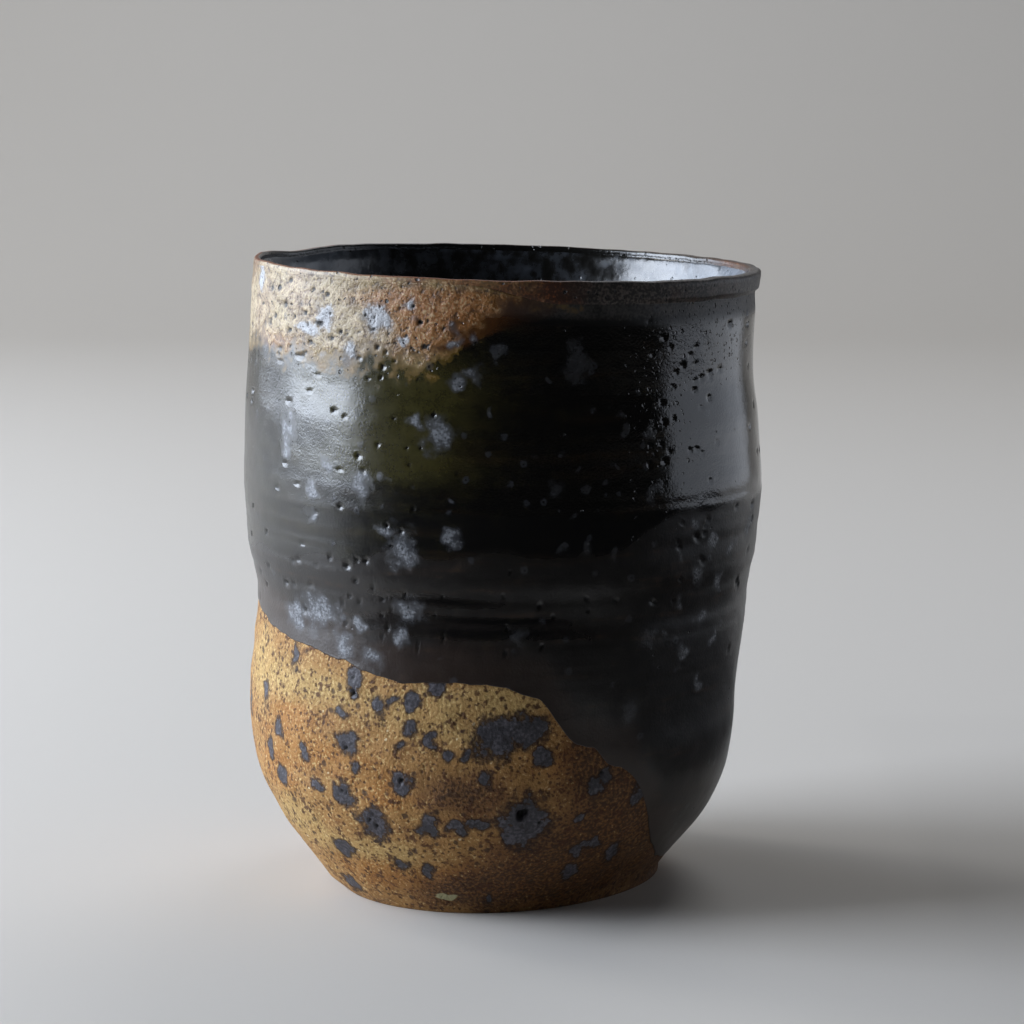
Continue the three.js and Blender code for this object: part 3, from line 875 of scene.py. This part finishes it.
LINER_COLUMNS = 420
LINER_TOP = WALL_TOP + 0.3
LINER_THICKNESS = 0.5
LINER_AT_LIP = 0.12
LINER_SINK = 0.05
LINER_RING_SPACING = 8.5
LINER_RING_RELIEF = 0.1
LINER_WAVES = (0.05, 6, 51)
LINER_ROWS = 110
LINER_CORNER_ROWS = 25
LINER_FLOOR_ROWS = 21
LINER_BACK_ROWS = 12
LINER_BACK_STEP = 5
liner_turns = columns_round(LINER_COLUMNS)[None, :]
liner_heights = np.linspace(LINER_TOP, FLOOR_TOP + INNER_CORNER, LINER_ROWS)[:, None] + 0 * liner_turns
ring_phase = 2 * math.pi * liner_heights / LINER_RING_SPACING + np.radians(liner_turns)
liner_rings = LINER_RING_RELIEF * np.sin(ring_phase)
wave, size, seed = LINER_WAVES
liner_rings += wave * unevenness(liner_turns, liner_heights, seed, size)
liner_rings *= smooth_step(LINER_TOP - liner_heights, 0.5, 4)
thickening = smooth_step(LINER_TOP - liner_heights, 0, 1.2)
liner_coat = LINER_AT_LIP + (LINER_THICKNESS - LINER_AT_LIP) * thickening
liner_wall = place(liner_turns, inner_radius(liner_heights) - liner_coat - liner_rings, liner_heights)
liner_angles = np.linspace(0, math.pi / 2, LINER_CORNER_ROWS + 1)[1:, None]
floor_shares = np.linspace(1, 0.03, LINER_FLOOR_ROWS + 1)[1:, None]


def liner_bottom(depth, step):
    """Every so many rows of the rounded corner and the floor, that far over the clay."""
    reach = INNER_CORNER - depth
    angles = liner_angles[::step]
    corner = place(
        liner_turns,
        corner_middle + reach * np.cos(angles),
        FLOOR_TOP + INNER_CORNER - reach * np.sin(angles),
    )
    flat = place(liner_turns, corner_middle * floor_shares[::step], np.full((1, 1), FLOOR_TOP + depth))
    return np.concatenate([corner, flat])


# Its back is sunk a little into the clay.
under_heights = np.linspace(FLOOR_TOP + INNER_CORNER, LINER_TOP, LINER_BACK_ROWS)[:, None]
liner_under = place(liner_turns, inner_radius(under_heights) + LINER_SINK, under_heights)
liner_back = np.concatenate([liner_bottom(-LINER_SINK, LINER_BACK_STEP)[::-1], liner_under])
liner_rows = np.concatenate([liner_back, liner_wall, liner_bottom(LINER_THICKNESS, 1)])
liner_poles = [place(0.0, 0.0, np.array(FLOOR_TOP + depth)) for depth in (-LINER_SINK, LINER_THICKNESS)]
liner_piece = turned_mesh("liner_glaze_coat", liner_rows, liner_poles)
# Where the poured glaze turned milky, with painted reflection and light in it: (turn, height, half width,
# half tall).
MILKY = ((-116, 97, 20, 8), (100, 95, 22, 7))
give_marks(liner_piece, len(liner_back), milky=patches(liner_turns, liner_heights, MILKY))

# Liner glaze: glassy black, with milky blue-grey clouds near the rim that partly hold painted reflection
# and light, and pinholes painted dark as shade.
liner_glaze, liner_shader = new_material("poured_liner_glaze")
liner = surface_patterns(
    liner_glaze,
    noises={"drift": 6, "mottle": 2},
    marks=("milky",),
    dots={"fine_pits": (1.6, 0.35, 0.3)},
)
liner_colour = painted(liner_glaze, liner, "#0D0C0A", [
    ({"mottle": 1, "drift": 0.8}, 0.80, 1.20, 0.4, "#454A52"),
    # Milky patches near the rim: milky glaze, and partly painted reflection and light.
    ({"milky": 1, "mottle": 0.75, "drift": 0.55}, 0.7, 1.65, 0.8, "#7C848F"),
    # Painted shade in the pinholes.
    ({"fine_pits": 1}, 0, 1, 1.0, "#060505"),
])
finish_surface(
    liner_glaze, liner_shader, liner_colour,
    roughness=share_where(liner_glaze, liner, {"mottle": 1, "drift": 0.6}, 0.4, 1.3, 0.14, 0.4),
    height=share_where(liner_glaze, liner, {"mottle": 1, "fine_pits": -0.5}, -0.5, 1),
    relief_mm=0.1,
)
liner_shader.inputs["IOR"].default_value = GLAZE_IOR
liner_piece.data.materials.append(liner_glaze)
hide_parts("inner_glaze")
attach(liner_piece, "root")

# Lip: a thin iron wash over the rounded rim, rust-brown and sandy where the glaze ran off it. On the
# right it keeps a small collar with a groove under it.

LIP_COLUMNS = 640
LIP_COAT = 0.25
LIP_SINK = 0.05
LIP_OVER_GLAZE = 0.4
LIP_OVERLAP = 0.8
LIP_INSIDE = 1.8
COLLAR_RELIEF = 0.4
LIP_SQUARENESS = 0.6
OUTSIDE_ROWS, OVER_ROWS, INSIDE_ROWS = 16, 24, 7
lip_turns = columns_round(LIP_COLUMNS)[None, :]
lip_start = np.minimum(glaze_top(lip_turns) + LIP_OVER_GLAZE, WALL_TOP)
outside_shares = np.linspace(0, 1, OUTSIDE_ROWS)[:, None]
lip_outside = lip_start - LIP_OVERLAP + (WALL_TOP - lip_start + LIP_OVERLAP) * outside_shares
collar = COLLAR_RELIEF * collar_share(lip_turns)
collar_step = smooth_step(lip_outside, lip_start - 0.3, lip_start + 0.1)
lip_arc = np.linspace(0, math.pi, OVER_ROWS + 1)[1:, None]
arc_across = np.sign(np.cos(lip_arc)) * np.abs(np.cos(lip_arc)) ** LIP_SQUARENESS
arc_up = np.abs(np.sin(lip_arc)) ** LIP_SQUARENESS
lip_inside = np.linspace(WALL_TOP, WALL_TOP - LIP_INSIDE, INSIDE_ROWS + 1)[1:, None]
lip_middle, lip_half = lip_section(lip_turns)


def lip_face(coat, shown):
    """Rows over the lip from outside to inside; only the shown face has the collar."""
    outside_coat = coat * smooth_step(lip_outside, lip_start - 1.2, lip_start)
    outside_coat = outside_coat + collar * collar_step * shown
    outside = place(lip_turns, outer_radius(lip_turns, lip_outside) + outside_coat, lip_outside)
    reach = (lip_half + coat) * arc_across + collar * shown * np.maximum(arc_across, 0)
    rise = (LIP_THICKNESS / 2 + coat) * arc_up
    over = place(lip_turns, lip_middle + reach, WALL_TOP + rise)
    inside_coat = coat * (1 - 1.2 * smooth_step(WALL_TOP - lip_inside, 0.2, 1.4))
    inside = place(lip_turns, inner_radius(lip_inside) - inside_coat, lip_inside)
    return np.concatenate([outside, over, inside])


lip_faces = np.concatenate([lip_face(LIP_COAT, 1), lip_face(-LIP_SINK, 0)[::-1]])
lip_band = turned_mesh("iron_wash_lip", lip_faces, loop=True)
# How rusty the lip is: outside it follows the glaze below it, and the inner side is dark but for one
# place (turn, half width, strength). Its edge is where the section turns by that angle in radians.
INNER_RUST = (106, 16, 0.6)
EDGE_ANGLE = 1.3
EDGE_WIDTH = 0.5
RUSTY_EDGE = 0.8
rustiness = round_the_cup((
    (-90, 1), (-40, 1), (-22, 0.9), (-8, 0.7), (10, 0.5), (22, 0.15), (36, 0), (90, 0), (140, 0.3),
    (180, 0.6), (230, 0.9),
))(lip_turns)
rust_turn, half_width, strength = INNER_RUST
inner_rust = strength * np.exp(-((across_from(lip_turns, rust_turn) / half_width) ** 2))
over_section = np.clip(1.9 - lip_arc[:, 0] / 1.3, 0, 1)
section = np.concatenate([np.ones(OUTSIDE_ROWS), over_section, np.zeros(INSIDE_ROWS)])[:, None]
lip_levels = np.concatenate([lip_outside, np.full((OVER_ROWS + INSIDE_ROWS, LIP_COLUMNS), WALL_TOP)])
edge_section = np.zeros((OUTSIDE_ROWS + OVER_ROWS + INSIDE_ROWS, 1))
over_rows = slice(OUTSIDE_ROWS, OUTSIDE_ROWS + OVER_ROWS)
edge_section[over_rows] = np.exp(-(((lip_arc - EDGE_ANGLE) / EDGE_WIDTH) ** 2))
give_marks(
    lip_band, 0,
    rust=rustiness * section + inner_rust * (1 - section),
    glazed=(1 - section) * (1 - inner_rust),
    cream=patches(lip_turns, lip_levels, CREAM) * section,
    orange=patches(lip_turns, lip_levels, ORANGE) * section,
    edge=edge_section * np.minimum(rustiness, RUSTY_EDGE) / RUSTY_EDGE,
)

# Iron wash: a thin coat of iron over the clay, satin and grainy, rust where the glaze broke, charcoal on
# the right and reddest along the edge. The inner side is black with glaze.
iron_wash, wash_shader = new_material("rusty_iron_wash")
wash = surface_patterns(
    iron_wash,
    noises={"drift": 9, "mottle": 2, "curds": 0.9, "crystals": 0.4},
    marks=("rust", "glazed", "cream", "orange", "edge"),
    dots={"fine_pits": (1.1, 0.3, 0.45)},
)
stained = {"rust": 1, "drift": 0.7, "mottle": 0.5}
wash_colour = painted(iron_wash, wash, "#241F1D", [
    ({"crystals": 1, "mottle": 0.4}, 0.60, 0.85, 0.7, "#645C56"),
    (stained, 0.6, 1.1, 1.0, "#44230D"),
    ({"crystals": 1, "rust": 0.5}, 0.74, 0.95, 0.7, "#86481A"),
    (stained, 1.1, 1.6, 1.0, broken_glaze(iron_wash, wash)),
    ({"edge": 1, "mottle": 0.6, "crystals": 0.6}, 0.9, 1.5, 0.85, "#6A3414"),
    ({"glazed": 1, "edge": -1}, 0.2, 0.8, 1.0, "#0D0C0A"),
    # Painted shade in the pinholes.
    ({"fine_pits": 1}, 0, 1, 1.0, "#080706"),
])
finish_surface(
    iron_wash, wash_shader, wash_colour,
    roughness=share_where(iron_wash, wash, {"glazed": 1}, 0.2, 0.8, 0.5, 0.18),
    height=share_where(iron_wash, wash, {"crystals": 0.5, "mottle": 0.3, "fine_pits": -1}, -1, 0.8),
    relief_mm=0.2,
)
wash_shader.inputs["IOR"].default_value = GLAZE_IOR
lip_band.data.materials.append(iron_wash)
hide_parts("lip_wash")
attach(lip_band, "root")

# Studio: a plain pale floor that sweeps up into a backdrop, a window of two panes on the left, a dim low
# panel on the right, two soft lights behind, and a camera at the height and distance of the
# photograph's. Sizes and places are in metres here.

FLOOR_HALF = 3.0
SWEEP_START = 0.9
SWEEP_RADIUS = 0.5
SWEEP_STEPS = 12
BACKDROP_TOP = 2.5
sweep = [(-FLOOR_HALF, 0.0), (SWEEP_START, 0.0)]
for step in range(1, SWEEP_STEPS + 1):
    angle = math.pi / 2 * step / SWEEP_STEPS
    sweep.append((SWEEP_START + SWEEP_RADIUS * math.sin(angle), SWEEP_RADIUS * (1 - math.cos(angle))))
sweep.append((SWEEP_START + SWEEP_RADIUS, BACKDROP_TOP))
floor_points = [(x, y, z) for y, z in sweep for x in (-FLOOR_HALF, FLOOR_HALF)]
floor_faces = [(2 * i, 2 * i + 1, 2 * i + 3, 2 * i + 2) for i in range(len(sweep) - 1)]
studio_floor = new_piece("studio_floor", floor_points, floor_faces)
# Floor paint: matt and pale, one even tone.
floor_paint, floor_shader = new_material("pale_floor_paint")
floor_shader.inputs["Base Color"].default_value = linear("#C8C3BC")
floor_shader.inputs["Roughness"].default_value = 0.75
studio_floor.data.materials.append(floor_paint)

# A black card lies on the floor in front and on the right: only the gloss of the glaze reflects it, so it
# puts painted shade into the glaze's reflections. It is dead black, with no gloss.
CARD_CORNERS = ((-0.5, -0.09), (-0.5, -1.2), (0.8, -1.2), (0.8, 0.12), (0.07, 0.12), (0.07, -0.09))
card_points = [(x, y, MM) for x, y in CARD_CORNERS]
black_card = new_piece("black_card", card_points, [range(len(card_points))])
card_felt, felt_shader = new_material("black_card_felt")
felt_shader.inputs["Base Color"].default_value = linear("#0A0A0A")
felt_shader.inputs["Roughness"].default_value = 1.0
black_card.data.materials.append(card_felt)
black_card.visible_camera = False
black_card.visible_diffuse = False
black_card.visible_shadow = False


def soft_light(name, position, aim, width, tall, brightness, hex_colour):
    """A soft panel of light that faces a point; brightness is what a mirror would show of it."""
    lamp = bpy.data.lights.new(name, "AREA")
    lamp.shape = "RECTANGLE"
    lamp.size = width
    lamp.size_y = tall
    lamp.energy = brightness * math.pi * width * tall
    lamp.color = linear(hex_colour)[:3]
    holder = bpy.data.objects.new(name, lamp)
    holder.location = position
    away = Vector(position) - Vector(aim)
    holder.rotation_euler = away.to_track_quat("Z", "Y").to_euler()
    holder.visible_camera = False
    bpy.context.scene.collection.objects.link(holder)


soft_light("window_near_pane", (-0.72, -0.06, 0.35), (0.0, -0.06, 0.35), 0.5, 0.6, 13.6, "#E6F0FF")
soft_light("window_far_pane", (-0.72, 0.46, 0.35), (0.0, 0.46, 0.35), 0.54, 0.6, 5.6, "#E6F0FF")
soft_light("panel_right", (0.53, 0.15, 0.13), (0.0, 0.0, 0.13), 0.62, 0.26, 1.0, "#DEE6F4")
soft_light("sky_behind", (0.35, 0.75, 1.1), (0.15, 0.0, 0.0), 0.6, 0.6, 3.2, "#F4F6FA")
soft_light("backdrop_wash", (-1.1, 0.7, 1.6), (-0.9, 1.4, 0.8), 0.6, 0.4, 11.0, "#FFFDF8")
world = bpy.data.worlds.new("studio_air")
world.use_nodes = True
world.node_tree.nodes["Background"].inputs["Color"].default_value = linear("#8F9092")
world.node_tree.nodes["Background"].inputs["Strength"].default_value = 0.07
bpy.context.scene.world = world
bpy.context.scene.view_settings.view_transform = "Standard"

CAMERA_DISTANCE = 0.5075
CAMERA_HEIGHT = 0.1361
CAMERA_RIGHT = 0.00115
CAMERA_PITCH = 8.627
FOCAL_PIXELS = 3200
IMAGE_PIXELS = 1024
SENSOR = 36.0
camera_data = bpy.data.cameras.new("camera")
camera_data.sensor_width = SENSOR
camera_data.lens = SENSOR * FOCAL_PIXELS / IMAGE_PIXELS
camera = bpy.data.objects.new("camera", camera_data)
camera.location = (wheel_axis.x + CAMERA_RIGHT, wheel_axis.y - CAMERA_DISTANCE, CAMERA_HEIGHT)
camera.rotation_euler = (math.radians(90 - CAMERA_PITCH), 0, 0)
bpy.context.scene.collection.objects.link(camera)
bpy.context.scene.camera = camera
